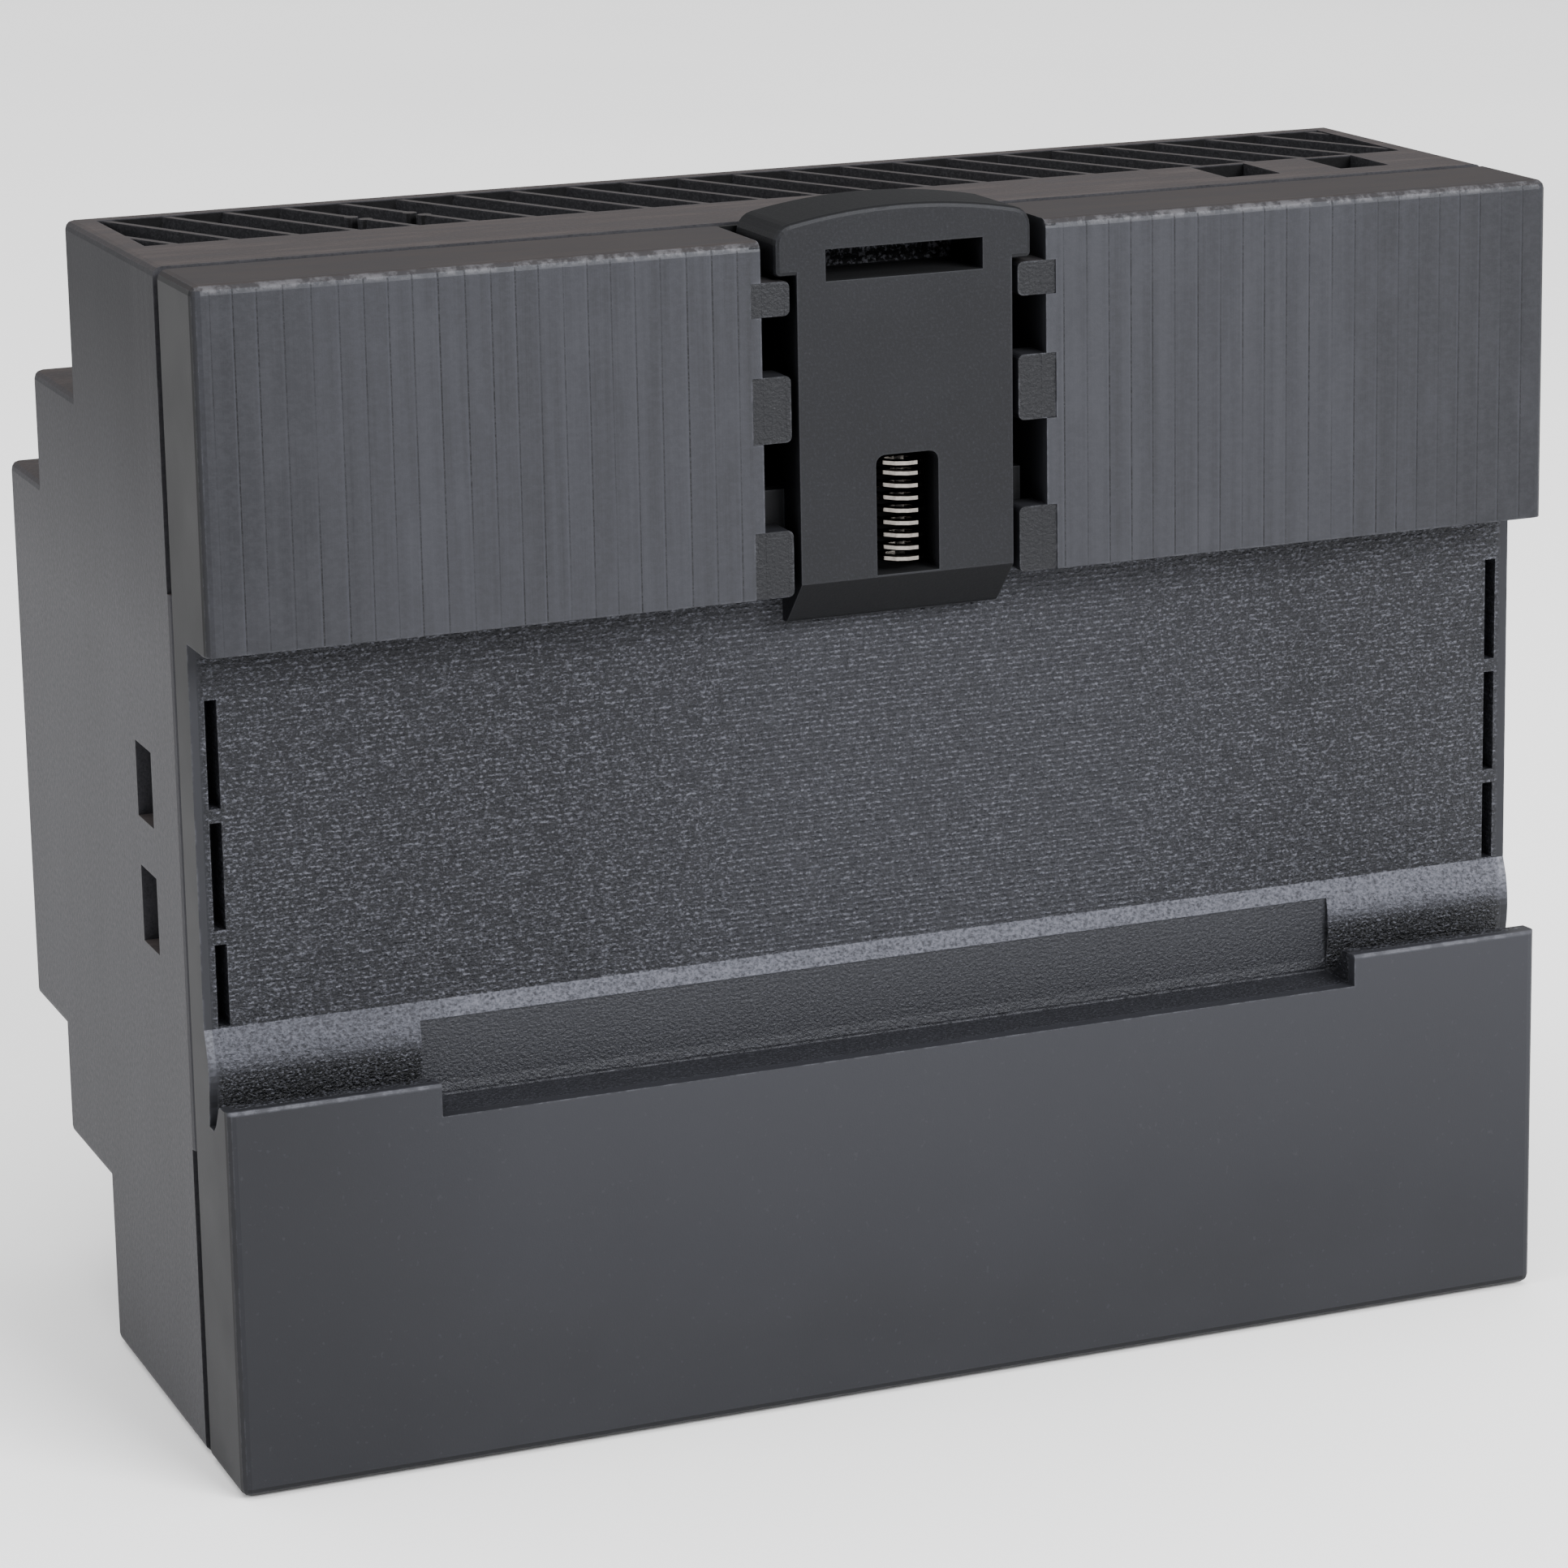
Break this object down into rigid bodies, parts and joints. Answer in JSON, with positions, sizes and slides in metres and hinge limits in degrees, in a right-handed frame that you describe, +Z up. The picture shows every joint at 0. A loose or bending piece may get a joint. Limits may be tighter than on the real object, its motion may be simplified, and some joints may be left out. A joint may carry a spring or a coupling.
{
  "type": "din rail power supply",
  "caption": "Stepped plastic case with a rail channel, sprung pull latch, louvred vents and plug-in terminals; turns mains into low-voltage DC",
  "frame": {"origin": "centre of the case's underside", "axes": "+X along the rail, +Y towards the rail (rear), +Z up to the latch head"},
  "size_m": [0.108, 0.0604, 0.092],
  "materials": {
    "base_plastic": "fine matt, spark-eroded in the channel",
    "housing_plastic": "fine matt",
    "latch_plastic": "fine matt",
    "spring_steel": "bright drawn wire",
    "plate_film": "fine satin film",
    "clear_plastic": "clear, polished",
    "led_green": "tinted epoxy",
    "terminal_plastic": "fine matt",
    "header_plastic": "fine matt",
    "tinned_copper": "bright tin",
    "board_laminate": "solder resist",
    "insulating_film": "smooth film",
    "zinc_steel": "bright zinc",
    "fuse_body": "moulded",
    "varistor_blue": "dipped lacquer",
    "thermistor_black": "dipped lacquer",
    "film_yellow": "moulded case",
    "ceramic_blue": "dipped lacquer",
    "ferrite": "sintered, matt",
    "enamelled_wire": "enamelled copper",
    "capacitor_sleeve": "shrink sleeve",
    "aluminium": "mill finish",
    "chip_epoxy": "moulded epoxy",
    "bobbin_plastic": "moulded",
    "winding_tape": "polyester tape",
    "trimmer_blue": "moulded",
    "rotor_white": "moulded"
  },
  "bodies": {
    "case": {"rear_base": "base_plastic", "front_housing": "housing_plastic", "latch_spring": "spring_steel", "front_plate": "plate_film", "light_pipe": "clear_plastic", "status_led": "led_green", "input_header": "header_plastic", "output_header": "header_plastic", "main_board": "board_laminate", "control_board": "board_laminate", "insulating_sheet": "insulating_film", "board_screw_1": "zinc_steel", "board_screw_2": "zinc_steel", "board_screw_3": "zinc_steel", "board_screw_4": "zinc_steel", "fuse": "fuse_body", "varistor": "varistor_blue", "inrush_thermistor": "thermistor_black", "x_capacitor": "film_yellow", "y_capacitor_1": "ceramic_blue", "y_capacitor_2": "ceramic_blue", "input_choke_core": "ferrite", "output_choke_core": "ferrite", "transformer_core_rear": "ferrite", "transformer_core_front": "ferrite", "input_choke_winding_left": "enamelled_wire", "input_choke_winding_right": "enamelled_wire", "output_choke_winding": "enamelled_wire", "input_capacitor_1": "capacitor_sleeve", "input_capacitor_2": "capacitor_sleeve", "output_capacitor_1": "capacitor_sleeve", "output_capacitor_2": "capacitor_sleeve", "output_capacitor_3": "capacitor_sleeve", "primary_heatsink": "aluminium", "secondary_heatsink": "aluminium", "bridge_rectifier": "chip_epoxy", "primary_switch": "chip_epoxy", "output_diode": "chip_epoxy", "controller_chip": "chip_epoxy", "optocoupler": "chip_epoxy", "transformer_bobbin": "bobbin_plastic", "transformer_winding": "winding_tape", "trimmer_body": "trimmer_blue"},
    "latch": {"rail_latch": "latch_plastic"},
    "trimmer": {"trimmer_rotor": "rotor_white"},
    "input_terminal": {"input_plug": "terminal_plastic", "input_clamp_1": "tinned_copper", "input_clamp_2": "tinned_copper", "input_clamp_3": "tinned_copper"},
    "output_terminal": {"output_plug": "terminal_plastic", "output_clamp_1": "tinned_copper", "output_clamp_2": "tinned_copper", "output_clamp_3": "tinned_copper", "output_clamp_4": "tinned_copper"}
  },
  "joints": [
    {"name": "latch_slide", "type": "slide", "parent": "case", "child": "latch", "axis": [0, 0, 1], "range_m": [0, 0.0035], "stiffness_N_per_m": 350, "springref_m": -0.004, "deforming": ["latch_spring"]},
    {"name": "trimmer_turn", "type": "hinge", "parent": "case", "child": "trimmer", "pos_m": [-0.021, -0.0269, 0.0585], "axis": [0, -1, 0], "range_deg": [-135, 135]},
    {"name": "input_plug_slide", "type": "slide", "parent": "case", "child": "input_terminal", "axis": [0, -1, 0], "range_m": [0, 0.012]},
    {"name": "output_plug_slide", "type": "slide", "parent": "case", "child": "output_terminal", "axis": [0, -1, 0], "range_m": [0, 0.012]}
  ]
}
